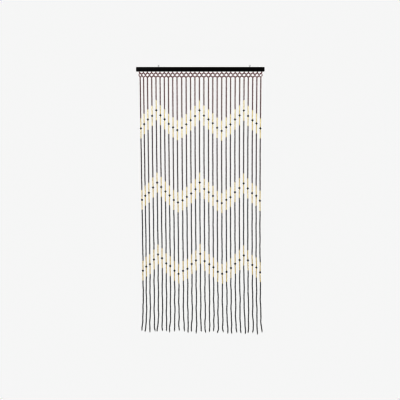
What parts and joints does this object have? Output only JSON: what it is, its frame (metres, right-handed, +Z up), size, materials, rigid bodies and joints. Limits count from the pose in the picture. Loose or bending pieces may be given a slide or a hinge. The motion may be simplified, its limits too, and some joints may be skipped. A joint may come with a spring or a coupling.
{
  "type": "bead curtain with hanging bar",
  "caption": "Doorway curtain of wooden bead strings with zigzag bands, hung from a beaded heading on a painted bar with screw eyes.",
  "frame": {"origin": "middle of the bar's top face, where the curtain is hung from", "axes": "+Z up, X along the bar, the front of the curtain faces -Y"},
  "size_m": [0.9, 0.014, 1.8867],
  "materials": {
    "bar_black": "black painted wood, satin",
    "eye_steel": "zinc plated wire",
    "bead_black": "black stained wood, satin",
    "bead_mahogany": "dark red-brown stained wood, satin",
    "bead_burgundy": "burgundy stained wood, satin",
    "bead_natural": "pale natural wood, clear lacquer",
    "bead_round": "black lacquered wood, gloss",
    "cord": "thin waxed braid"
  },
  "bodies": {
    "root": {"bar": "bar_black", "screw_eye_left": "eye_steel", "screw_eye_right": "eye_steel", "bead_net": "bead_black"}
  },
  "joints": []
}
